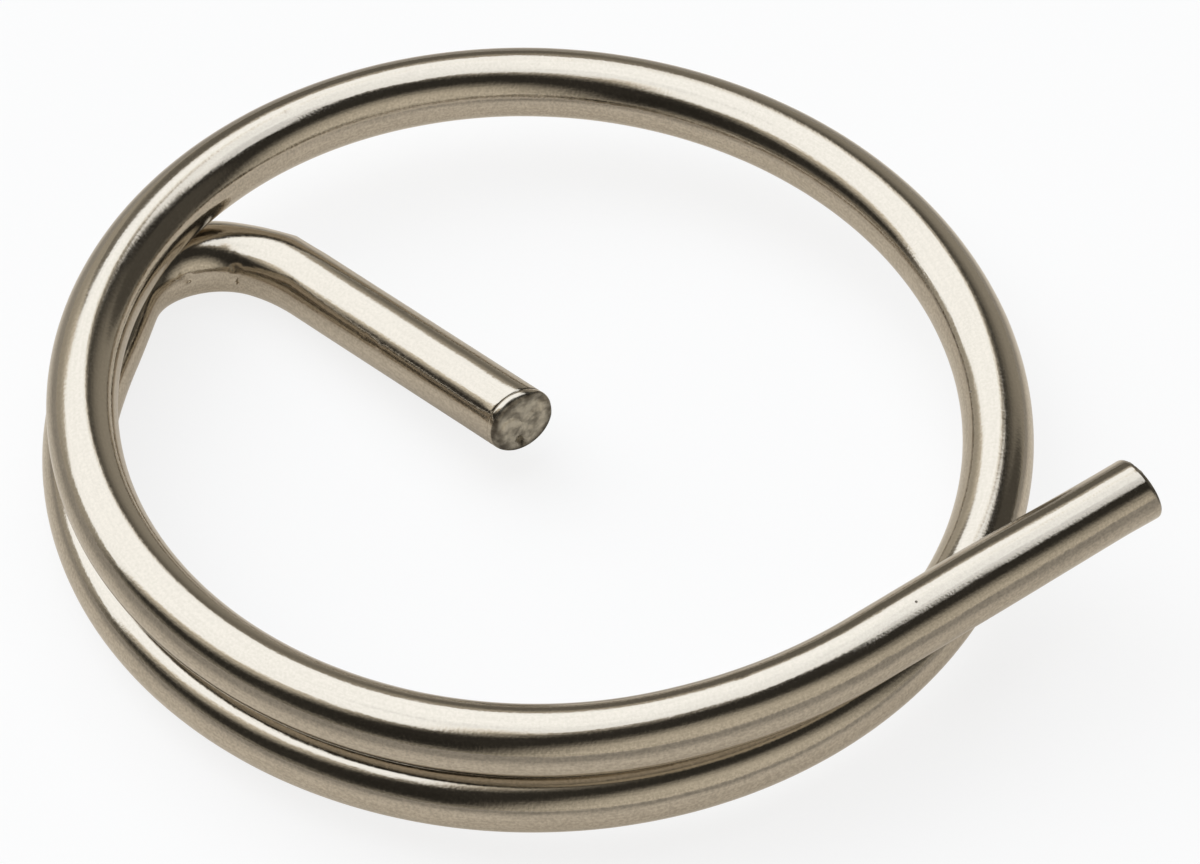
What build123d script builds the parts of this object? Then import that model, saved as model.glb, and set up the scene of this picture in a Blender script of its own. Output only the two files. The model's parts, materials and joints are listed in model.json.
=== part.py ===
from build123d import *
import math
import os

# Cotter ring for rigging and clevis pins: one length of round spring wire, coiled for nearly
# one and a half turns. The wire runs from a straight leg inside the ring, round a knee and a
# tight bend into the coil, and leaves the coil as a straight tail that crosses over the first
# turn. Lengths are in millimetres and angles in degrees. The coil's axis is upright, and the
# finished ring lies on Z = 0, with the middle of its outline over the origin.

# The wire and the coil
WIRE_DIAMETER = 1.5
COIL_INNER_DIAMETER = 17.9      # across the inside of the first turn
TURN_GAP = 0.08                 # daylight between the turns where they lie on each other
COIL_START_ANGLE = 165.0        # where the first turn begins, counted from +X
FIRST_SWEEP = 246.0             # from there round to the far side
SECOND_SWEEP = 234.5            # from the far side until the coil opens out
SECOND_TURN_CLOSING = 0.08      # how much smaller the second turn's radius is
FLAT_BEND = 40.0                # the coil climbs in flat bends of about this much each

# The tail, which a thumbnail lifts to start the ring on its pin
LEAD_OUT_RADIUS = 11.9          # the coil opens out to this radius first
LEAD_OUT_SWEEP = 23.0
TAIL_LENGTH = 7.24

# The leg, which goes through the hole in the pin
LEAD_IN_LENGTH = 1.45           # straight wire between the coil and the tight bend
BEND_RADIUS = 2.13              # at the wire's middle
BEND_ANGLE = 97.7
KNEE_RADIUS = 3.5
KNEE_ANGLE = 21.9
KNEE_LIFT = 17.0                # how far the knee's plane leans up out of the bend's plane
LEG_LENGTH = 6.53

# The ends are sheared, so their faces lean off square, and tumbling has worn down their rims
LEG_SHEAR_LEAN = -12.0          # sideways, seen from above
TAIL_SHEAR_LEAN = 9.0           # upwards
RIM_WEAR = 0.12

# What follows from the sizes above
wire_radius = WIRE_DIAMETER / 2
first_radius = COIL_INNER_DIAMETER / 2 + wire_radius
second_radius = first_radius - SECOND_TURN_CLOSING
pitch = WIRE_DIAMETER + TURN_GAP
turn_length = 360 / FLAT_BEND * 2 * first_radius * math.tan(math.radians(FLAT_BEND / 2))
climb_slope = math.atan(pitch / turn_length)    # of the headings where flat bends meet
tip_length = WIRE_DIAMETER                      # the last of each straight, with the sheared end
upright = Vector(0, 0, 1)


def outward(angle):
    """Level unit vector away from the coil's axis, at an angle counted from +X."""
    return Vector(1, 0, 0).rotate(Axis.Z, angle)


def turned(vector, about, angle):
    """A vector turned about the direction of another one."""
    return vector.rotate(Axis((0, 0, 0), about), angle)


def bend(start, heading, side, radius, sweep):
    """A flat bend that leaves start along heading and turns towards side."""
    plane = Plane(origin=start + side * radius, x_dir=side * -1, z_dir=heading.cross(side))
    return plane * CenterArc((0, 0), radius, 0, sweep)


def straight(start, heading, length):
    """A straight run of wire."""
    return Line(start, start + heading * length)


def climbing(angle):
    """The wire's heading where it lies outward at an angle: round the coil and slightly up."""
    return outward(angle + 90) * math.cos(climb_slope) + upright * math.sin(climb_slope)


def coil_run(start, angle, radius, sweep):
    """A stretch of the coil from start, as flat bends that each lean with the climb."""
    steps = max(1, round(sweep / FLAT_BEND))
    step = sweep / steps
    runs = []
    for number in range(steps):
        heading = climbing(angle + step * number)
        ahead = climbing(angle + step * (number + 1))
        side = (ahead - heading * heading.dot(ahead)).normalized()
        runs.append(bend(start, heading, side, radius, heading.get_angle(ahead)))
        start = runs[-1] @ 1
    return runs


def coil_and_tail():
    """The two turns of the coil, the lead-out and the tail, in order up the wire."""
    angle = COIL_START_ANGLE
    coil = coil_run(outward(angle) * first_radius, angle, first_radius, FIRST_SWEEP)
    angle += FIRST_SWEEP
    coil += coil_run(coil[-1] @ 1, angle, second_radius, SECOND_SWEEP)
    angle += SECOND_SWEEP
    lead_out = coil_run(coil[-1] @ 1, angle, LEAD_OUT_RADIUS, LEAD_OUT_SWEEP)
    tail = straight(lead_out[-1] @ 1, lead_out[-1] % 1, TAIL_LENGTH - tip_length)
    return coil + lead_out + [tail]


def bends_and_leg(coil):
    """The lead-in, the tight bend, the knee and the leg, in order away from the coil."""
    heading = (coil % 0) * -1
    inward = outward(COIL_START_ANGLE) * -1
    down = heading.cross(inward)
    lead_in = straight(coil @ 0, heading, LEAD_IN_LENGTH)
    tight_bend = bend(lead_in @ 1, heading, inward, BEND_RADIUS, BEND_ANGLE)
    heading = tight_bend % 1
    side = turned(down.cross(heading), heading, -KNEE_LIFT)
    knee = bend(tight_bend @ 1, heading, side, KNEE_RADIUS, KNEE_ANGLE)
    leg = straight(knee @ 1, knee % 1, LEG_LENGTH - tip_length)
    return [lead_in, tight_bend, knee, leg]


def swept_wire(runs):
    """Round wire along its runs, which follow each other from one end to the other."""
    centreline = Wire([edge for run in runs for edge in run.edges()])
    section = Plane(origin=centreline @ 0, z_dir=centreline % 0) * Circle(wire_radius)
    return sweep(section, path=centreline)


def sheared_tip(run, lean_axis, lean):
    """The tip that carries on from a straight run, cut on a leaning face with its rim broken."""
    heading = run % 1
    stub = Cylinder(wire_radius, 2 * tip_length, align=(Align.CENTER, Align.CENTER, Align.MIN))
    stub = Plane(origin=run @ 1, z_dir=heading) * stub
    end = run @ 1 + heading * tip_length
    end_plane = Plane(origin=end, z_dir=turned(heading, lean_axis, lean))
    stub = split(stub, bisect_by=end_plane, keep=Keep.BOTTOM)
    end_face = stub.faces().sort_by_distance(end)[0]
    return chamfer(end_face.edges(), RIM_WEAR)


upper = coil_and_tail()
lower = bends_and_leg(upper[0])
leg = lower[-1]
tail = upper[-1]
ring = swept_wire(lower[::-1] + upper)
ring += sheared_tip(leg, upright, LEG_SHEAR_LEAN)
ring += sheared_tip(tail, (tail % 1).cross(upright), TAIL_SHEAR_LEAN)

# Stand it on its underside, with the middle of its outline over the origin
box = ring.bounding_box()
seat = Vector(box.center().X, box.center().Y, box.min.Z)
ring = Pos(*(seat * -1)) * ring

os.makedirs("parts", exist_ok=True)
export_step(ring, "parts/cotter_ring.step")
leg_middle = leg @ 0 + (leg % 0) * (LEG_LENGTH / 2) - seat
print("coil axis at", seat * -1)
print("leg's middle at", leg_middle, "pointing along", leg % 0)
print("box", ring.bounding_box(), "volume", ring.volume)
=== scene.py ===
"""A cotter ring of bright spring wire, lying on a pale floor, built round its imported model."""

from __future__ import annotations

import json
import logging
import math
from dataclasses import dataclass, field
from enum import Enum
from typing import Callable

import bmesh
import bpy
from mathutils import Matrix, Vector
from mathutils.kdtree import KDTree

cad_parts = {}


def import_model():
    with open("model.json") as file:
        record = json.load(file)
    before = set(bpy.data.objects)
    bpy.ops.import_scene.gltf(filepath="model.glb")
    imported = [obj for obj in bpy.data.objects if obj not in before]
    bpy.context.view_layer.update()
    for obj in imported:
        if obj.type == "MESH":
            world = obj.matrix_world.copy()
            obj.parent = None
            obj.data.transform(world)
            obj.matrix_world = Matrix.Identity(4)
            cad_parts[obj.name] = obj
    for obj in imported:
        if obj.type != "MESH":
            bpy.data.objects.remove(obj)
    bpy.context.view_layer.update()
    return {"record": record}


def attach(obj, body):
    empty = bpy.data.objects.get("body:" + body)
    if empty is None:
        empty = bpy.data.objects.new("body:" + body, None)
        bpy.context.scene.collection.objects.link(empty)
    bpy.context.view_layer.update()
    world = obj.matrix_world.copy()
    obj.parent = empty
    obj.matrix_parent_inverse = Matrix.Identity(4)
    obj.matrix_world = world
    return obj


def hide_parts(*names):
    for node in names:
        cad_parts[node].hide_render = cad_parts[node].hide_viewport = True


MM = 0.001
UP = Vector((0.0, 0.0, 1.0))
WHITE = (1.0, 1.0, 1.0)
LOG = logging.getLogger("cotter_ring")

# Where the material reads a vertex's place on the straightened wire, and how torn it is
WIRE_PLACE = "wire_place"
TORN = "torn"


def outward(angle: float) -> Vector:
    """Level unit vector away from the coil's axis, at an angle in degrees counted from +X."""
    return Vector((math.cos(math.radians(angle)), math.sin(math.radians(angle)), 0.0))


def turned(vector: Vector, about: Vector, angle: float) -> Vector:
    """A vector turned about another one, by an angle in degrees."""
    return Matrix.Rotation(math.radians(angle), 3, about) @ vector


@dataclass(frozen=True)
class Run:
    """One stretch of the wire's middle line: straight, or a flat bend towards a side."""

    start: Vector
    heading: Vector
    length: float
    side: Vector | None = None
    radius: float = math.inf

    @property
    def angle(self) -> float:
        """How far the bend turns, in radians."""
        return self.length / self.radius

    @property
    def centre(self) -> Vector:
        """The point that the bend turns about."""
        return self.start + self.side * self.radius

    @property
    def axis(self) -> Vector:
        """The direction that the bend turns about."""
        return self.heading.cross(self.side)

    def place(self, along: float) -> Vector:
        """Follows the run.

        Args:
            along: The distance from its start.

        Returns:
            The point there.
        """
        if self.side is None:
            return self.start + self.heading * along
        turn = Matrix.Rotation(along / self.radius, 3, self.axis)
        return self.centre + turn @ (self.start - self.centre)

    def direction(self, along: float) -> Vector:
        """Follows the run's heading.

        Args:
            along: The distance from its start.

        Returns:
            The heading there.
        """
        if self.side is None:
            return self.heading.copy()
        return Matrix.Rotation(along / self.radius, 3, self.axis) @ self.heading

    def in_metres(self, offset: Vector) -> Run:
        """The run shifted and taken from millimetres to metres."""
        return Run((self.start + offset) * MM, self.heading, self.length * MM, self.side,
                   self.radius * MM)

    def reversed(self) -> Run:
        """Follows the run the other way.

        Returns:
            A run of the same shape from this one's end to its start.
        """
        end = self.place(self.length)
        side = self.side
        if side is not None:
            side = (self.centre - end).normalized()
        return Run(end, -self.direction(self.length), self.length, side, self.radius)


def far_end(runs: list[Run]) -> Vector:
    """The point where the last run ends."""
    return runs[-1].place(runs[-1].length)


@dataclass(frozen=True)
class WireRoute:
    """The wire's middle line, from the sizes that the ring is made to, in millimetres and degrees.

    The coil's axis is upright through the origin, and the coil starts level with it.
    """

    wire_diameter: float = 1.5
    coil_inner_diameter: float = 17.9
    turn_gap: float = 0.08
    coil_start_angle: float = 165.0
    first_sweep: float = 246.0
    second_sweep: float = 234.5
    second_turn_closing: float = 0.08
    flat_bend: float = 40.0
    lead_out_radius: float = 11.9
    lead_out_sweep: float = 23.0
    tail_length: float = 7.24
    lead_in_length: float = 1.45
    bend_radius: float = 2.13
    bend_angle: float = 97.7
    knee_radius: float = 3.5
    knee_angle: float = 21.9
    knee_lift: float = 17.0
    leg_length: float = 6.53

    @property
    def first_radius(self) -> float:
        """Radius of the first turn's middle line."""
        return (self.coil_inner_diameter + self.wire_diameter) / 2

    @property
    def climb_slope(self) -> float:
        """Slope of the coil's headings, which lifts the wire by its thickness in one turn.

        Returns:
            The slope in radians.
        """
        half_bend = math.radians(self.flat_bend / 2)
        turn_length = 360 / self.flat_bend * 2 * self.first_radius * math.tan(half_bend)
        return math.atan((self.wire_diameter + self.turn_gap) / turn_length)

    def climbing(self, angle: float) -> Vector:
        """The wire's heading where it lies outward at an angle: round the coil and slightly up."""
        level = outward(angle + 90)
        return level * math.cos(self.climb_slope) + UP * math.sin(self.climb_slope)

    def coil_run(self, start: Vector, angle: float, radius: float, sweep: float) -> list[Run]:
        """Lays a stretch of the coil, as flat bends that each lean with the climb.

        Args:
            start: Where the stretch starts.
            angle: Where that is round the coil, in degrees.
            radius: The bends' radius.
            sweep: How far round the coil the stretch goes, in degrees.

        Returns:
            The bends in order.
        """
        steps = max(1, round(sweep / self.flat_bend))
        runs: list[Run] = []
        for number in range(steps):
            heading = self.climbing(angle + sweep / steps * number)
            ahead = self.climbing(angle + sweep / steps * (number + 1))
            side = (ahead - heading * heading.dot(ahead)).normalized()
            runs.append(Run(start, heading, radius * heading.angle(ahead), side, radius))
            start = runs[-1].place(runs[-1].length)
        return runs

    def upper(self) -> list[Run]:
        """Lays the wire up from the coil's start.

        Returns:
            The coil's two stretches, the lead-out and the tail, in order.
        """
        angle = self.coil_start_angle
        runs = self.coil_run(outward(angle) * self.first_radius, angle, self.first_radius,
                             self.first_sweep)
        angle += self.first_sweep
        closed = self.first_radius - self.second_turn_closing
        runs += self.coil_run(far_end(runs), angle, closed, self.second_sweep)
        angle += self.second_sweep
        runs += self.coil_run(far_end(runs), angle, self.lead_out_radius, self.lead_out_sweep)
        runs.append(Run(far_end(runs), runs[-1].direction(runs[-1].length), self.tail_length))
        return runs

    def lower(self) -> list[Run]:
        """Lays the wire the other way from the coil's start.

        Returns:
            The lead-in, the tight bend, the knee and the leg, in order.
        """
        heading = -self.climbing(self.coil_start_angle)
        inward = -outward(self.coil_start_angle)
        down = heading.cross(inward)
        lead_in = Run(outward(self.coil_start_angle) * self.first_radius, heading,
                      self.lead_in_length)
        bend_length = self.bend_radius * math.radians(self.bend_angle)
        bend = Run(far_end([lead_in]), heading, bend_length, inward, self.bend_radius)
        heading = bend.direction(bend_length)
        side = turned(down.cross(heading), heading, -self.knee_lift)
        knee_length = self.knee_radius * math.radians(self.knee_angle)
        knee = Run(far_end([bend]), heading, knee_length, side, self.knee_radius)
        leg = Run(far_end([knee]), knee.direction(knee_length), self.leg_length)
        return [lead_in, bend, knee, leg]


def deselect_objects() -> None:
    """Nothing is left selected in object mode."""
    bpy.ops.object.select_all(action="DESELECT")


@dataclass(frozen=True)
class Station:
    """A place on the wire's middle line, with the directions that its section is drawn in."""

    along: float
    point: Vector
    heading: Vector

    @property
    def up(self) -> Vector:
        """Across the wire, as nearly upwards as it can be."""
        return (UP - self.heading * UP.dot(self.heading)).normalized()

    @property
    def right(self) -> Vector:
        """Across the wire, level, to the right of its heading: away from the coil's axis."""
        return self.heading.cross(self.up)

    def spoke(self, round_angle: float) -> Vector:
        """Unit vector across the wire, at an angle in degrees from its top towards its right."""
        turn = math.radians(round_angle)
        return self.up * math.cos(turn) + self.right * math.sin(turn)


@dataclass
class MiddleLine:
    """The whole middle line in metres and in the ring's own frame, from the leg to the tail."""

    runs: list[Run]
    step: float = 0.02 * MM
    stations: list[Station] = field(default_factory=list, init=False)
    length: float = field(default=0.0, init=False)
    tree: KDTree | None = field(default=None, init=False)

    def __post_init__(self) -> None:
        """Walks the runs, puts a station at each step and sorts the stations by place."""
        for run in self.runs:
            count = math.ceil(run.length / self.step)
            for number in range(count):
                along = run.length * number / count
                self.stations.append(
                    Station(self.length + along, run.place(along), run.direction(along)))
            self.length += run.length
        self.tree = KDTree(len(self.stations))
        for number, station in enumerate(self.stations):
            self.tree.insert(station.point, number)
        self.tree.balance()

    def at(self, along: float) -> Station:
        """The station nearest to a distance along the wire."""
        return min(self.stations, key=lambda station: abs(station.along - along))

    def nearest(self, point: Vector) -> Station:
        """Finds where a point belongs on the wire.

        Args:
            point: A point on the surface or near it.

        Returns:
            The nearest station, slid along its heading to lie square to the point.
        """
        station = self.stations[self.tree.find(point)[1]]
        slide = (point - station.point).dot(station.heading)
        return Station(station.along + slide, station.point + station.heading * slide,
                       station.heading)


class Fade(Enum):
    """How a mark's depth falls off towards its edge."""

    SOFT = "SMOOTH"
    DISHED = "SPHERE"
    POINTED = "SHARP"


@dataclass(frozen=True)
class Mark:
    """A place where a tool or a knock has moved the surface, in millimetres and degrees.

    The place is a distance along the wire from the leg's end and an angle round it. A negative
    depth stands proud.
    """

    along: float
    round_angle: float
    depth: float
    reach: float
    fade: Fade = Fade.SOFT


@dataclass(frozen=True)
class FaceMark:
    """A place on a sheared face that is pressed back, or drawn forward by a negative depth."""

    right: float
    up: float
    depth: float
    reach: float
    fade: Fade = Fade.SOFT


@dataclass(frozen=True)
class ShearedEnd:
    """How one end of the wire is cut, in millimetres and degrees.

    The face leans and stands slightly domed, and its rim is worn round. Behind the rim may lie
    a lip, whose steps each are a distance behind the face and one in from the wire's surface.
    """

    lean: float
    rim: float
    doming: float
    lip: tuple[tuple[float, float], ...] = ()
    marks: tuple[FaceMark, ...] = ()
    rim_steps: int = 7

    def profile(self) -> list[tuple[float, float]]:
        """Draws the rim and the lip.

        Returns:
            The steps from the wire's side to its end face, each like a step of the lip.
        """
        shoulder = (1.5 * self.rim, 0.0)
        steps = list(self.lip) or [shoulder]
        for number in range(self.rim_steps + 1):
            turn = math.pi / 2 * number / self.rim_steps
            steps.append((self.rim * (1 - math.sin(turn)), self.rim * (1 - math.cos(turn))))
        return steps


@dataclass(frozen=True)
class Lumps:
    """Cloudy unevenness of a surface: how wide its lumps are and how far they may stand."""

    name: str
    width: float
    height: float
    octaves: int = 2


@dataclass(frozen=True)
class FaceArea:
    """A part of the sheared faces that becomes a vertex group.

    It reaches out from the middle by a share of the wire's radius, and a face belongs to it
    from the least cosine between the face's normal and the end's own.
    """

    name: str
    reach: float
    least_cosine: float
    thickness: float = 0.15 * MM


@dataclass
class WireTube:
    """The wire as one tube: a ring pushed along the runs, then sheared and worn at its ends."""

    name: str
    radius: float
    facets: int = 80
    spacing: float = 0.12 * MM
    fine_spacing: float = 0.06 * MM
    tip: float = 0.6 * MM
    face_ring: float = 0.04 * MM
    face_filled: float = 0.8
    near: float = 0.01 * MM
    weld: float = 0.0005 * MM
    sharp_angle: float = 35.0
    broken_area: FaceArea = FaceArea("broken_faces", reach=0.85, least_cosine=0.9)
    torn_area: FaceArea = FaceArea("torn_faces", reach=1.05, least_cosine=0.55)
    broken_metal: Lumps = Lumps("broken_metal", width=0.15 * MM, height=0.05 * MM)
    drawing_waves: Lumps = Lumps("drawing_waves", width=1.3 * MM, height=0.006 * MM)
    piece: bpy.types.Object | None = field(default=None, init=False)
    face_places: list[tuple[Vector, Vector]] = field(default_factory=list, init=False)

    def begin(self, start: Vector, heading: Vector) -> None:
        """Adds the section's circle where the coil starts, and opens it for editing.

        Args:
            start: The circle's middle.
            heading: The direction that it is square to.
        """
        deselect_objects()
        bpy.ops.mesh.primitive_circle_add(
            vertices=self.facets, radius=self.radius, fill_type="NOTHING", location=start,
            rotation=heading.to_track_quat("Z", "Y").to_euler())
        self.piece = bpy.context.object
        self.piece.name = self.piece.data.name = self.name
        bpy.ops.object.transform_apply(location=True, rotation=True, scale=True)
        bpy.ops.object.mode_set(mode="EDIT")
        bpy.ops.mesh.select_mode(type="EDGE")
        bpy.ops.mesh.select_all(action="SELECT")

    def pick_ring(self, point: Vector, heading: Vector) -> None:
        """Selects the edges of the ring that lies square to the wire.

        Args:
            point: The ring's middle.
            heading: The wire's heading there.
        """
        bpy.ops.mesh.select_all(action="DESELECT")
        mesh = bmesh.from_edit_mesh(self.piece.data)
        ring = {vertex for vertex in mesh.verts
                if abs((vertex.co - point).dot(heading)) < self.near
                and (vertex.co - point).length < self.radius + self.near}
        for edge in mesh.edges:
            edge.select = all(vertex in ring for vertex in edge.verts)
        bmesh.update_edit_mesh(self.piece.data)

    def push(self, run: Run, fine: bool = False, last: bool = False) -> None:
        """Carries the selected ring along a run, leaving rings behind it.

        Args:
            run: The stretch to follow.
            fine: Whether the rings lie closer together, for small marks.
            last: Whether the wire ends with this run, so that its tip is kept in one length.
        """
        spacing = self.fine_spacing if fine else self.spacing
        if run.side is not None:
            steps = max(2, round(run.length / spacing))
            bpy.ops.mesh.spin(steps=steps, angle=-run.angle, center=run.centre, axis=run.axis)
            return
        length = run.length - self.tip if last else run.length
        steps = max(1, round(length / spacing))
        for _ in range(steps):
            self._extrude(run.heading * (length / steps))
        if last:
            overlong = 2 * self.tip
            self._extrude(run.heading * overlong)

    def cut(self, end: Vector, heading: Vector, face_normal: Vector, shape: ShearedEnd) -> None:
        """Cuts the tip on a leaning plane and closes it, with its rim and its face.

        Args:
            end: Where the middle line ends.
            heading: The wire's heading there.
            face_normal: The direction that the end face looks in.
            shape: The rim's profile and the face's marks.
        """
        slope = heading.dot(face_normal)
        steps = [(behind * MM, inward * MM) for behind, inward in shape.profile()]
        behind, inward = steps[0]
        centre = end - heading * (behind / slope)
        self._pick_faces(lambda face: (face.calc_center_median() - end).length < 2 * self.tip
                         and (face.calc_center_median() - end).dot(heading) > -self.tip)
        bpy.ops.mesh.bisect(plane_co=centre, plane_no=face_normal, use_fill=True,
                            clear_outer=True)
        self._pick_cap(centre, face_normal)
        for next_behind, next_inward in steps[1:]:
            centre = end - heading * (next_behind / slope)
            self._extrude(heading * ((behind - next_behind) / slope))
            factor = (self.radius - next_inward) / (self.radius - inward)
            bpy.ops.transform.resize(value=(factor,) * 3, center_override=centre)
            behind, inward = next_behind, next_inward
        self._grow_face(shape.doming * MM)
        for mark in shape.marks:
            right = heading.cross(UP).normalized()
            place = end + (right * mark.right + right.cross(heading) * mark.up) * MM
            self.press(place, -face_normal, mark)
        self.face_places.append((end, face_normal))

    def _grow_face(self, doming: float) -> None:
        """Fills the selected face with narrow rings, each a little prouder than the last.

        Args:
            doming: How far the middle stands above the rim.
        """
        count = round(self.face_filled * self.radius / self.face_ring)
        for number in range(count):
            rise = doming * (2 * (count - number) - 1) / count ** 2
            bpy.ops.mesh.inset(thickness=self.face_ring, depth=rise)
        bpy.ops.mesh.poke()

    def press(self, place: Vector, direction: Vector, mark: Mark | FaceMark) -> None:
        """Moves the surface round a place, fading out at the mark's reach.

        Args:
            place: The mark's middle.
            direction: The way that a depth is pressed in.
            mark: How deep and wide the mark is.
        """
        bpy.ops.mesh.select_mode(type="VERT")
        bpy.ops.mesh.select_all(action="DESELECT")
        mesh = bmesh.from_edit_mesh(self.piece.data)
        nearest = min(mesh.verts, key=lambda vertex: (vertex.co - place).length_squared)
        nearest.select = True
        bmesh.update_edit_mesh(self.piece.data)
        bpy.ops.transform.translate(
            value=direction * (mark.depth * MM), use_proportional_edit=True,
            use_proportional_connected=True, proportional_edit_falloff=mark.fade.value,
            proportional_size=mark.reach * MM)

    def finish(self) -> bpy.types.Object:
        """Welds doubles, turns the faces outward, roughens the metal and shades it smooth.

        Returns:
            The tube's object.
        """
        bpy.ops.mesh.select_all(action="SELECT")
        bpy.ops.mesh.remove_doubles(threshold=self.weld)
        bpy.ops.mesh.normals_make_consistent(inside=False)
        self._group_faces(self.broken_area)
        self._group_faces(self.torn_area)
        bpy.ops.object.mode_set(mode="OBJECT")
        self._roughen(self.broken_metal, self.broken_area.name)
        self._roughen(self.drawing_waves)
        deselect_objects()
        self.piece.select_set(True)
        bpy.ops.object.shade_smooth_by_angle(angle=math.radians(self.sharp_angle))
        return self.piece

    def _group_faces(self, area: FaceArea) -> None:
        """Puts the vertices of an area of the sheared faces into a group.

        Args:
            area: Which faces, and the group's name.
        """
        self._pick_faces(lambda face: any(
            abs((face.calc_center_median() - end).dot(normal)) < area.thickness
            and abs(face.normal.dot(normal)) > area.least_cosine
            and (face.calc_center_median() - end).length < area.reach * self.radius
            for end, normal in self.face_places))
        bpy.ops.object.vertex_group_assign_new()
        self.piece.vertex_groups.active.name = area.name

    def _roughen(self, lumps: Lumps, group: str = "") -> None:
        """Displaces the surface by clouds.

        Args:
            lumps: The clouds' size and height.
            group: The vertex group to keep to, or nothing for the whole surface.
        """
        clouds = bpy.data.textures.new(lumps.name, "CLOUDS")
        clouds.noise_scale = lumps.width
        clouds.noise_depth = lumps.octaves
        displace = self.piece.modifiers.new(lumps.name, "DISPLACE")
        displace.texture = clouds
        displace.texture_coords = "LOCAL"
        displace.strength = lumps.height
        displace.vertex_group = group
        bpy.context.view_layer.objects.active = self.piece
        bpy.ops.object.modifier_apply(modifier=lumps.name)

    def _extrude(self, step: Vector) -> None:
        """Pushes the selected ring on by one step."""
        bpy.ops.mesh.extrude_region_move(TRANSFORM_OT_translate={"value": step})

    def _pick_faces(self, wanted: Callable[[bmesh.types.BMFace], bool]) -> None:
        """Selects the faces that a test picks out.

        Args:
            wanted: The test, true for a face to select.
        """
        bpy.ops.mesh.select_mode(type="FACE")
        bpy.ops.mesh.select_all(action="DESELECT")
        mesh = bmesh.from_edit_mesh(self.piece.data)
        for face in mesh.faces:
            face.select = wanted(face)
        mesh.select_flush_mode()
        bmesh.update_edit_mesh(self.piece.data)

    def _pick_cap(self, end: Vector, face_normal: Vector) -> None:
        """Selects the face that closes the cut tip.

        Args:
            end: A point on the cut's plane, in the wire's middle.
            face_normal: The plane's normal.
        """
        widest = 1.2 * self.radius
        self._pick_faces(lambda face: all(
            abs((vertex.co - end).dot(face_normal)) < self.near
            and (vertex.co - end).length < widest for vertex in face.verts))


Colour = tuple[float, float, float] | bpy.types.NodeSocket


class Signal:
    """A shader socket that takes part in sums: each operator adds its own Math node."""

    def __init__(self, shader: Shader, socket: bpy.types.NodeSocket) -> None:
        """Wraps a socket of a shader's tree."""
        self.shader = shader
        self.socket = socket

    def _maths(self, operation: str, *values: Signal | float) -> Signal:
        """Works the values out in a Math node of their own."""
        node = self.shader.node("ShaderNodeMath", {"operation": operation},
                                dict(enumerate(values)))
        return Signal(self.shader, node.outputs[0])

    def __add__(self, other: Signal | float) -> Signal:
        """The sum."""
        return self._maths("ADD", self, other)

    __radd__ = __add__

    def __sub__(self, other: Signal | float) -> Signal:
        """The difference."""
        return self._maths("SUBTRACT", self, other)

    def __rsub__(self, other: float) -> Signal:
        """The difference, the other way."""
        return self._maths("SUBTRACT", other, self)

    def __mul__(self, other: Signal | float) -> Signal:
        """The product."""
        return self._maths("MULTIPLY", self, other)

    __rmul__ = __mul__

    def __truediv__(self, other: Signal | float) -> Signal:
        """The quotient."""
        return self._maths("DIVIDE", self, other)

    def __rtruediv__(self, other: float) -> Signal:
        """The quotient, the other way."""
        return self._maths("DIVIDE", other, self)

    def size(self) -> Signal:
        """The value without its sign."""
        return self._maths("ABSOLUTE", self)

    def root(self) -> Signal:
        """The square root."""
        return self._maths("SQRT", self)

    def at_least(self, floor: Signal | float) -> Signal:
        """The value, or a floor where the value is lower."""
        return self._maths("MAXIMUM", self, floor)

    def between(self, low: float, high: float) -> Signal:
        """How far the value has come from low to high, smoothly, from 0 to 1."""
        node = self.shader.node("ShaderNodeMapRange", {"interpolation_type": "SMOOTHSTEP"},
                                {"Value": self, "From Min": low, "From Max": high})
        return Signal(self.shader, node.outputs[0])


class Shader:
    """A node tree that is written as expressions."""

    def __init__(self, tree: bpy.types.NodeTree) -> None:
        """Empties the tree."""
        self.tree = tree
        self.tree.nodes.clear()

    def node(self, kind: str, settings: dict | None = None,
             inputs: dict | None = None) -> bpy.types.Node:
        """Adds a node.

        Args:
            kind: The node's type.
            settings: Its own settings, which are set first.
            inputs: A value, signal or socket for each input, by name or number.

        Returns:
            The new node.
        """
        node = self.tree.nodes.new(kind)
        for name, value in (settings or {}).items():
            setattr(node, name, value)
        for name, value in (inputs or {}).items():
            if isinstance(value, Signal):
                value = value.socket
            if isinstance(value, bpy.types.NodeSocket):
                self.tree.links.new(value, node.inputs[name])
            else:
                node.inputs[name].default_value = value
        return node

    def signal(self, kind: str, settings: dict | None = None, inputs: dict | None = None,
               output: str | int = 0) -> Signal:
        """Adds a node as `node` does, and gives one of its outputs as a signal."""
        return Signal(self, self.node(kind, settings, inputs).outputs[output])

    def noise(self, place: bpy.types.NodeSocket, size: float, detail: float) -> Signal:
        """Smooth noise from 0 to 1, with lumps of a size."""
        return self.signal("ShaderNodeTexNoise", {}, {"Vector": place, "Scale": 1 / size,
                                                      "Detail": detail})

    def mix_colour(self, factor: Signal, first: Colour, second: Colour) -> bpy.types.NodeSocket:
        """Mixes two colours.

        Args:
            factor: 0 for the first colour and 1 for the second.
            first: A colour or a socket that carries one.
            second: A colour or a socket that carries one.

        Returns:
            The socket of the mixed colour.
        """
        colours = [(*colour, 1.0) if isinstance(colour, tuple) else colour
                   for colour in (first, second)]
        node = self.node("ShaderNodeMix", {"data_type": "RGBA"},
                         {0: factor, 6: colours[0], 7: colours[1]})
        return node.outputs[2]

    def parts(self, vector: bpy.types.NodeSocket) -> list[Signal]:
        """A vector's three parts."""
        node = self.node("ShaderNodeSeparateXYZ", {}, {0: vector})
        return [Signal(self, socket) for socket in node.outputs]


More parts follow.
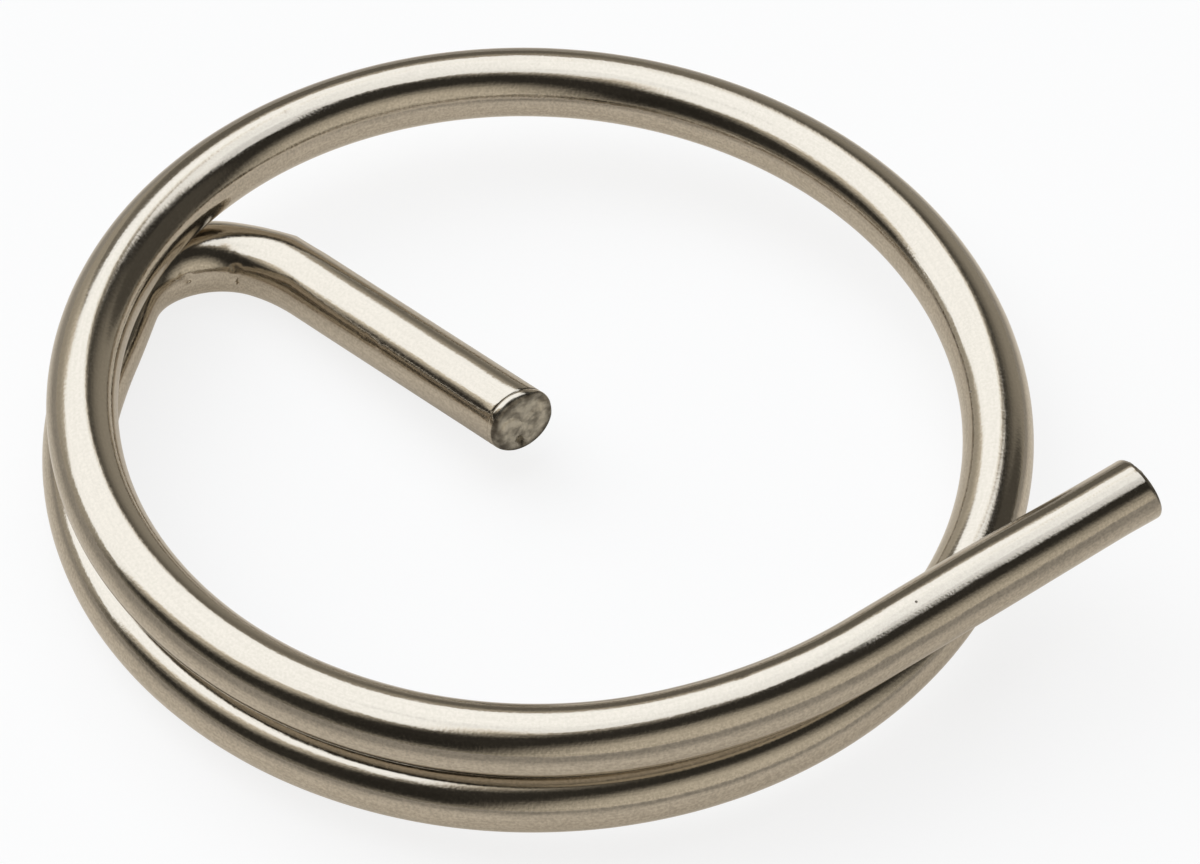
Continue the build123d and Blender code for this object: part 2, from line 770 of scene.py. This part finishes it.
@dataclass(frozen=True)
class BrightSteel:
    """Stainless wire, drawn and tumbled: bright, faintly warm, finely grained and pitted.

    Its tone wavers between two colours with the grain and the drawing lines, less so along the
    wire's top, where it is worn. The sheared faces are torn: lumpy and dull, with painted shade
    darkening their rim.
    """

    colour: tuple[float, float, float] = (0.62, 0.563, 0.480)
    shade: tuple[float, float, float] = (0.455, 0.414, 0.350)
    pit_colour: tuple[float, float, float] = (0.16, 0.14, 0.115)
    torn_colour: tuple[float, float, float] = (0.68, 0.64, 0.55)
    torn_shade: tuple[float, float, float] = (0.32, 0.295, 0.25)
    # Painted shade: the dark colour that the torn faces' rim is painted with
    rim_painted_shade: tuple[float, float, float] = (0.10, 0.088, 0.072)
    # Where a noise counts as fully shaded and where as fully bright
    tone_range: tuple[float, float] = (0.32, 0.68)
    lump_range: tuple[float, float] = (0.32, 0.64)
    grain_share: float = 0.7
    grain_size: float = 0.060 * MM
    grain_detail: float = 3.0
    drawn_length: float = 1.1 * MM
    drawn_width: float = 0.05 * MM
    drawn_detail: float = 2.0
    # How high above the wire's middle the wear starts and is at its full strength
    worn_height: tuple[float, float] = (0.30 * MM, 0.62 * MM)
    wear: float = 0.75
    worn_tone: float = 0.5
    torn_grain: float = 0.22 * MM
    torn_detail: float = 5.0
    # How far from the wire's middle the painted shade round the torn face's rim starts and is at its
    # darkest
    painted_rim_reach: tuple[float, float] = (0.50 * MM, 0.70 * MM)
    painted_rim_softening: float = 0.4
    pit_spacing: float = 0.9 * MM
    pit_radius: float = 0.035 * MM
    pit_floor: float = 0.6
    pit_share: float = 0.22
    roughness: float = 0.115
    roughness_spread: float = 0.18
    pit_roughness: float = 0.3
    torn_roughness: float = 0.25
    bump_height: float = 0.0016 * MM
    drawn_height: float = 0.6
    pit_depth: float = 3.0

    def material(self) -> bpy.types.Material:
        """Makes the finish, on the wire's own coordinates.

        Returns:
            The material.
        """
        material = bpy.data.materials.new("bright_steel")
        material.use_nodes = True
        shader = Shader(material.node_tree)
        place = shader.node("ShaderNodeAttribute", {"attribute_name": WIRE_PLACE}).outputs["Vector"]
        torn = shader.signal("ShaderNodeAttribute", {"attribute_name": TORN}, {}, "Fac")
        grain = shader.noise(place, self.grain_size, self.grain_detail)
        drawn = shader.noise(self._drawn_out(shader, place), 1.0, self.drawn_detail)
        pits = self._pits(shader, place)
        colour = self._tone(shader, place, grain, drawn)
        colour = shader.mix_colour(torn, colour, self._torn_tone(shader, place))
        colour = shader.mix_colour(pits, colour, self.pit_colour)
        height = grain + drawn * self.drawn_height - pits * self.pit_depth
        bump = shader.node("ShaderNodeBump", {}, {"Strength": 1.0, "Distance": self.bump_height,
                                                  "Height": height})
        smoothest = self.roughness - self.roughness_spread / 2
        roughness = grain * self.roughness_spread + pits * self.pit_roughness + smoothest
        roughness = roughness + torn * self.torn_roughness
        steel = shader.node("ShaderNodeBsdfPrincipled", {},
                            {"Base Color": colour, "Metallic": 1.0, "Roughness": roughness,
                             "Normal": bump.outputs[0]})
        shader.node("ShaderNodeOutputMaterial", {}, {"Surface": steel.outputs[0]})
        return material

    def _tone(self, shader: Shader, place: bpy.types.NodeSocket, grain: Signal,
              drawn: Signal) -> bpy.types.NodeSocket:
        """Colours the drawn surface.

        Args:
            shader: The tree to write in.
            place: The wire's coordinates.
            grain: The grain's noise.
            drawn: The drawing lines' noise.

        Returns:
            The colour's socket.
        """
        up = shader.parts(place)[1]
        tone = (grain * self.grain_share + drawn * (1 - self.grain_share)).between(*self.tone_range)
        worn = up.between(*self.worn_height) * self.wear
        tone = tone * (1 - worn) + worn * self.worn_tone
        return shader.mix_colour(tone, self.shade, self.colour)

    def _torn_tone(self, shader: Shader, place: bpy.types.NodeSocket) -> bpy.types.NodeSocket:
        """Colours the sheared faces, and paints shade round their rim.

        Args:
            shader: The tree to write in.
            place: The wire's coordinates.

        Returns:
            The colour's socket.
        """
        _, up, right = shader.parts(place)
        lumps = shader.noise(place, self.torn_grain, self.torn_detail).between(*self.lump_range)
        # Painted shade: the torn face darkens towards its rim, a little less where its lumps are
        # light
        rim = (up * up + right * right).root().between(*self.painted_rim_reach)
        colour = shader.mix_colour(lumps, self.torn_shade, self.torn_colour)
        return shader.mix_colour(rim * (1 - lumps * self.painted_rim_softening), colour, self.rim_painted_shade)

    def _drawn_out(self, shader: Shader, place: bpy.types.NodeSocket) -> bpy.types.NodeSocket:
        """The wire's coordinates, in drawing lines' lengths along it and widths across it."""
        scale = (1 / self.drawn_length, 1 / self.drawn_width, 1 / self.drawn_width)
        return shader.node("ShaderNodeVectorMath", {"operation": "MULTIPLY"},
                           {0: place, 1: scale}).outputs[0]

    def _pits(self, shader: Shader, place: bpy.types.NodeSocket) -> Signal:
        """Scatters small pits, by keeping a share of a cell pattern's middles.

        Args:
            shader: The tree to write in.
            place: The wire's coordinates.

        Returns:
            1 inside the pits and 0 elsewhere.
        """
        cells = shader.node("ShaderNodeTexVoronoi", {},
                            {"Vector": place, "Scale": 1 / self.pit_spacing})
        distance = Signal(shader, cells.outputs["Distance"]) * self.pit_spacing
        chance = shader.parts(cells.outputs["Color"])[0]
        nearly = 0.01
        kept = 1 - chance.between(self.pit_share - nearly, self.pit_share + nearly)
        return (1 - distance.between(self.pit_floor * self.pit_radius, self.pit_radius)) * kept


@dataclass
class CotterRing:
    """The ring: one bent wire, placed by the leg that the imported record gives."""

    record: dict
    route: WireRoute = WireRoute()
    finish: BrightSteel = BrightSteel()
    leg_end: ShearedEnd = ShearedEnd(
        lean=-12.0,
        rim=0.12,
        doming=0.03,
        lip=((0.27, 0.0), (0.238, 0.003), (0.212, 0.024), (0.186, 0.006), (0.165, 0.0),
             (0.14, 0.0)),
        marks=(FaceMark(0.36, -0.12, -0.05, 0.34, Fade.DISHED),
               FaceMark(0.13, -0.40, 0.14, 0.15, Fade.POINTED),
               FaceMark(0.10, -0.50, 0.14, 0.15, Fade.POINTED),
               FaceMark(0.04, -0.58, 0.10, 0.14, Fade.POINTED),
               FaceMark(-0.48, 0.38, 0.07, 0.34),
               FaceMark(-0.62, 0.05, 0.06, 0.32)))
    tail_end: ShearedEnd = ShearedEnd(lean=9.0, rim=0.11, doming=0.02)
    marks: tuple[Mark, ...] = (
        # The bending tool: the knee's outer corner, the flat before it, and the tight bend's die
        Mark(7.38, 55.0, -0.05, 0.7, Fade.POINTED),
        Mark(8.35, 45.0, 0.03, 0.9),
        Mark(9.1, -67.0, 0.025, 0.7, Fade.DISHED),
        Mark(8.35, -62.0, 0.02, 0.12),
        Mark(9.85, -77.0, 0.05, 0.13),
        Mark(8.2, -84.0, 0.06, 0.13),
        Mark(8.23, -102.0, 0.03, 0.14),
        # The metal crowded up inside the tight bend, and the tail pinched by the shear
        Mark(9.3, -115.0, -0.05, 1.6),
        Mark(13.3, -104.0, -0.08, 2.6),
        Mark(105.6, -53.0, 0.09, 4.5),
        Mark(105.6, 127.0, 0.05, 3.5),
        # Knocks from tumbling
        Mark(0.38, -48.0, -0.02, 0.12, Fade.POINTED),
        Mark(3.73, -57.0, -0.014, 0.12, Fade.POINTED),
        Mark(4.14, -59.0, 0.010, 0.10),
        Mark(6.53, -103.0, -0.012, 0.12),
        Mark(30.3, 105.0, 0.020, 0.20),
        Mark(51.5, -19.0, 0.012, 0.20, Fade.POINTED),
        Mark(61.4, -14.0, 0.010, 0.18, Fade.POINTED),
        Mark(64.3, -13.0, 0.012, 0.18, Fade.POINTED),
        Mark(67.2, -9.0, 0.010, 0.18, Fade.POINTED),
        Mark(89.1, 7.0, 0.012, 0.18, Fade.POINTED),
        Mark(95.8, -16.0, 0.012, 0.20, Fade.POINTED),
        Mark(98.7, 70.0, 0.016, 0.20, Fade.POINTED),
    )

    def build(self) -> bpy.types.Object:
        """Draws the wire, dresses it, and sets it on its body in the CAD node's stead.

        Returns:
            The finished piece.
        """
        upper, lower = self._runs()
        middle = MiddleLine([run.reversed() for run in reversed(lower)] + upper)
        tube = WireTube("cotter_ring_wire", self.route.wire_diameter / 2 * MM)
        self._bend(tube, upper, lower)
        self._shear(tube, upper[-1], lower[-1])
        for mark in self.marks:
            station = middle.at(mark.along * MM)
            spoke = station.spoke(mark.round_angle)
            tube.press(station.point + spoke * tube.radius, -spoke, mark)
        piece = tube.finish()
        self._store_places(piece, middle)
        self._store_torn(piece, tube.torn_area.name)
        piece.data.materials.append(self.finish.material())
        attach(piece, "root")
        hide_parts("cotter_ring")
        return piece

    def _runs(self) -> tuple[list[Run], list[Run]]:
        """Sets the route in the ring's own frame, with the leg's middle at its mount.

        Returns:
            The runs up and down the wire from the coil's start, in metres.
        """
        upper, lower = self.route.upper(), self.route.lower()
        leg = lower[-1]
        mount = next(mount for mount in self.record["mounts"] if mount["name"] == "leg")
        offset = Vector(mount["pos_m"]) / MM - leg.place(leg.length / 2)
        return [run.in_metres(offset) for run in upper], [run.in_metres(offset) for run in lower]

    @staticmethod
    def _bend(tube: WireTube, upper: list[Run], lower: list[Run]) -> None:
        """Pushes the tube along the whole route, both ways from the coil's start.

        Args:
            tube: The tube, not yet begun.
            upper: The runs up to the tail.
            lower: The runs down to the leg.
        """
        tube.begin(upper[0].start, upper[0].heading)
        for run in upper:
            tube.push(run, last=run is upper[-1])
        tube.pick_ring(lower[0].start, lower[0].heading)
        for run in lower:
            tube.push(run, fine=True, last=run is lower[-1])

    def _shear(self, tube: WireTube, tail: Run, leg: Run) -> None:
        """Cuts both ends: the leg's leans sideways and the tail's upwards.

        Args:
            tube: The bent tube.
            tail: The last run at the upper end.
            leg: The last run at the lower end.
        """
        leg_normal = turned(leg.heading, UP, self.leg_end.lean)
        tube.cut(leg.place(leg.length), leg.heading, leg_normal, self.leg_end)
        tail_normal = turned(tail.heading, tail.heading.cross(UP), self.tail_end.lean)
        tube.cut(tail.place(tail.length), tail.heading, tail_normal, self.tail_end)

    @staticmethod
    def _store_places(piece: bpy.types.Object, middle: MiddleLine) -> None:
        """Stores where each vertex lies on the straightened wire.

        Args:
            piece: The finished wire.
            middle: Its middle line.
        """
        places = piece.data.attributes.new(WIRE_PLACE, "FLOAT_VECTOR", "POINT")
        for vertex, place in zip(piece.data.vertices, places.data):
            station = middle.nearest(vertex.co)
            across = vertex.co - station.point
            place.vector = (station.along, across.dot(station.up), across.dot(station.right))

    @staticmethod
    def _store_torn(piece: bpy.types.Object, area: str) -> None:
        """Stores a 1 on each vertex of the torn faces.

        Args:
            piece: The finished wire.
            area: The name of the torn faces' vertex group.
        """
        group = piece.vertex_groups[area].index
        torn = piece.data.attributes.new(TORN, "FLOAT", "POINT")
        for vertex, value in zip(piece.data.vertices, torn.data):
            value.value = float(any(member.group == group for member in vertex.groups))


@dataclass(frozen=True)
class Panel:
    """A lit oblong on a level ceiling, in ceiling heights and degrees, for steel to mirror."""

    middle: tuple[float, float]
    half_size: tuple[float, float]
    turn: float
    radiance: float
    edge: float

    def cover(self, across: Signal, ahead: Signal) -> Signal:
        """Tells the panel from the ceiling round it.

        Args:
            across: How far right a place on the ceiling is.
            ahead: How far forward it is.

        Returns:
            1 inside the panel and 0 outside, with a soft edge.
        """
        sine, cosine = math.sin(math.radians(self.turn)), math.cos(math.radians(self.turn))
        x, y = across - self.middle[0], ahead - self.middle[1]
        u = (x * cosine + y * sine) / self.half_size[0]
        v = (y * cosine - x * sine) / self.half_size[1]
        return 1 - u.size().at_least(v.size()).between(1 - self.edge, 1 + self.edge)


@dataclass(frozen=True)
class Wall:
    """A soft-edged patch of the room, by the way that one looks towards it from the ring.

    All but its radiance are angles in degrees. A turn of 0 is straight ahead, 90 to the right.
    """

    turn: float
    rise: float
    reach: float
    radiance: float
    edge: float

    @property
    def direction(self) -> Vector:
        """Unit vector towards the patch's middle."""
        turn, rise = math.radians(self.turn), math.radians(self.rise)
        return Vector((math.sin(turn) * math.cos(rise), math.cos(turn) * math.cos(rise),
                       math.sin(rise)))

    def cover(self, shader: Shader, look: bpy.types.NodeSocket) -> Signal:
        """Tells the patch from the room round it.

        Args:
            shader: The tree to write in.
            look: The direction that one looks in.

        Returns:
            1 inside the patch and 0 outside, with a soft edge.
        """
        facing = shader.signal("ShaderNodeVectorMath", {"operation": "DOT_PRODUCT"},
                               {0: look, 1: self.direction}, "Value")
        outer = math.cos(math.radians(self.reach + self.edge / 2))
        inner = math.cos(math.radians(self.reach - self.edge / 2))
        return facing.between(outer, inner)


@dataclass(frozen=True)
class Camera:
    """A long lens that looks at the ring from the front and above. Its target is in millimetres."""

    target: tuple[float, float, float] = (0.0750, 0.3570, 1.1498)
    elevation: float = 48.375
    roll: float = 1.695
    distance: float = 163.88 * MM
    lens: float = 232.6
    nearest: float = 0.01
    farthest: float = 10.0

    def place(self) -> None:
        """Adds the camera and makes it the scene's own."""
        elevation = math.radians(self.elevation)
        back = Vector((0.0, -math.cos(elevation), math.sin(elevation)))
        data = bpy.data.cameras.new("camera")
        data.lens = self.lens
        data.clip_start = self.nearest
        data.clip_end = self.farthest
        camera = bpy.data.objects.new("camera", data)
        level = back.to_track_quat("Z", "Y").to_matrix()
        rolled = Matrix.Rotation(math.radians(self.roll), 3, back) @ level
        stand = Vector(self.target) * MM + back * self.distance
        camera.matrix_world = Matrix.Translation(stand) @ rolled.to_4x4()
        bpy.context.scene.collection.objects.link(camera)
        bpy.context.scene.camera = camera


@dataclass(frozen=True)
class Studio:
    """A pale floor in a room with soft panels for a ceiling, and a lamp for the floor's shadow."""

    panels: tuple[Panel, ...] = (
        Panel((-1.04, 0.565), (0.71, 1.15), 63.6, 1.72, 0.06),
        Panel((0.141, 0.260), (0.50, 0.300), 42.6, 1.56, 0.10),
        Panel((-1.68, 0.86), (1.80, 0.70), -3.2, 1.75, 0.05),
        Panel((0.56, 0.20), (0.14, 0.19), 56.0, 1.20, 0.15),
    )
    panel_colour: tuple[float, float, float] = (0.955, 1.0, 1.06)
    walls: tuple[Wall, ...] = (
        Wall(-43.0, 28.0, 42.0, 0.46, 12.0),
        Wall(-60.0, 60.0, 30.0, 1.29, 44.0),
        Wall(33.0, 2.0, 24.0, 0.36, 44.0),
        Wall(144.0, -1.0, 37.0, 0.68, 32.0),
        Wall(-152.0, 26.0, 8.0, 0.03, 20.0),
        Wall(72.0, 22.0, 21.0, 0.09, 8.0),
        Wall(-20.0, 25.0, 9.0, 0.22, 6.0),
        Wall(-10.0, 13.0, 13.0, 0.17, 6.0),
    )
    room: float = 0.038
    room_colour: tuple[float, float, float] = (1.08, 1.0, 0.85)
    # The sines between which the low pale band round the room gives way to the room
    horizon: tuple[float, float] = (-0.02, 0.22)
    skyline: float = 0.29
    lowest_rise: float = 0.02
    lamp_place: tuple[float, float, float] = (-0.45, 0.25, 0.5)
    lamp_size: float = 0.6
    lamp_radiance: float = 1.2
    floor_radius: float = 0.6
    floor_sides: int = 96
    # The floor as the camera sees it, and how much of that is lifted to white
    paper_colour: tuple[float, float, float] = (0.95, 0.95, 0.95)
    whitening: float = 0.82
    # The floor as steel mirrors it: its own colour, and a painted glow, a pool of light that fades
    # away from the coil
    floor_colour: tuple[float, float, float] = (0.76, 0.70, 0.615)
    glow: float = 0.42
    near_glow: tuple[float, float, float] = (0.95, 0.875, 0.765)
    far_glow: tuple[float, float, float] = (0.02, 0.02, 0.02)
    glow_ring: float = 9.7 * MM
    glow_fade: tuple[float, float] = (1.0 * MM, 12.0 * MM)

    def build(self) -> None:
        """Lays the floor, hangs the lamp and sets the world."""
        self._floor()
        self._lamp()
        self._world()
        bpy.context.scene.view_settings.view_transform = "Standard"

    def _lamp(self) -> None:
        """A round soft lamp that lights the floor, and that steel does not mirror."""
        light = bpy.data.lights.new("lamp", "AREA")
        light.shape = "DISK"
        light.size = self.lamp_size
        light.energy = self.lamp_radiance * math.pi ** 2 * self.lamp_size ** 2 / 4
        lamp = bpy.data.objects.new("lamp", light)
        lamp.location = self.lamp_place
        lamp.rotation_euler = Vector(self.lamp_place).to_track_quat("Z", "Y").to_euler()
        lamp.visible_camera = lamp.visible_glossy = False
        bpy.context.scene.collection.objects.link(lamp)

    def _floor(self) -> None:
        """A level sheet that the camera sees lifted to white, and steel sees warm and dimmer, with a
        painted glow round the coil.
        """
        deselect_objects()
        bpy.ops.mesh.primitive_circle_add(
            vertices=self.floor_sides, radius=self.floor_radius, fill_type="NGON")
        floor = bpy.context.object
        floor.name = "floor"
        material = bpy.data.materials.new("floor")
        material.use_nodes = True
        shader = Shader(material.node_tree)
        rays = shader.node("ShaderNodeLightPath")
        seen = Signal(shader, rays.outputs["Is Camera Ray"])
        mirrored = Signal(shader, rays.outputs["Is Glossy Ray"])
        sheet = shader.mix_colour(seen, self.floor_colour, self.paper_colour)
        paper = shader.node("ShaderNodeBsdfDiffuse", {}, {"Color": sheet})
        # Painted light: for steel, the floor glows brightest under the coil's ring and fades away
        # from it
        spot = shader.node("ShaderNodeTexCoord").outputs["Object"]
        distance = shader.signal("ShaderNodeVectorMath", {"operation": "LENGTH"}, {0: spot}, "Value")
        away = (distance - self.glow_ring).size().between(*self.glow_fade)
        tone = shader.mix_colour(away, self.near_glow, self.far_glow)
        tint = shader.mix_colour(seen, tone, WHITE)
        lifted = shader.node("ShaderNodeEmission", {}, {"Color": tint, "Strength": 1.0})
        share = seen * self.whitening + mirrored * self.glow
        mixed = shader.node("ShaderNodeMixShader", {}, {0: share, 1: paper.outputs[0],
                                                        2: lifted.outputs[0]})
        shader.node("ShaderNodeOutputMaterial", {}, {"Surface": mixed.outputs[0]})
        floor.data.materials.append(material)

    def _world(self) -> None:
        """A dim room with paler walls and lit panels overhead, and white for the camera."""
        world = bpy.data.worlds.new("room")
        world.use_nodes = True
        shader = Shader(world.node_tree)
        look = shader.node("ShaderNodeTexCoord").outputs["Generated"]
        right, ahead, rise = shader.parts(look)
        above = rise.between(*self.horizon)
        grey = above * self.room + (1 - above) * self.skyline
        for wall in self.walls:
            inside = wall.cover(shader, look)
            grey = grey * (1 - inside) + inside * wall.radiance
        height = rise.at_least(self.lowest_rise)
        cool = 0.0
        for panel in self.panels:
            inside = panel.cover(right / height, ahead / height)
            grey = grey * (1 - inside) + inside * panel.radiance
            cool = inside.at_least(cool)
        rays = shader.node("ShaderNodeLightPath")
        seen = Signal(shader, rays.outputs["Is Camera Ray"])
        colour = shader.mix_colour(cool, self.room_colour, self.panel_colour)
        colour = shader.mix_colour(seen, colour, WHITE)
        strength = grey * (1 - seen) + seen
        background = shader.node("ShaderNodeBackground", {}, {"Color": colour,
                                                              "Strength": strength})
        shader.node("ShaderNodeOutputWorld", {}, {"Surface": background.outputs[0]})
        bpy.context.scene.world = world


def main() -> None:
    """Builds the ring in its frame, lights it, and reports each piece."""
    logging.basicConfig(level=logging.INFO, format="%(name)s: %(message)s")
    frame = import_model()
    Camera().place()
    Studio().build()
    piece = CotterRing(frame["record"]).build()
    LOG.info("%s: %d faces", piece.name, len(piece.data.polygons))


if __name__ == "__main__":
    main()
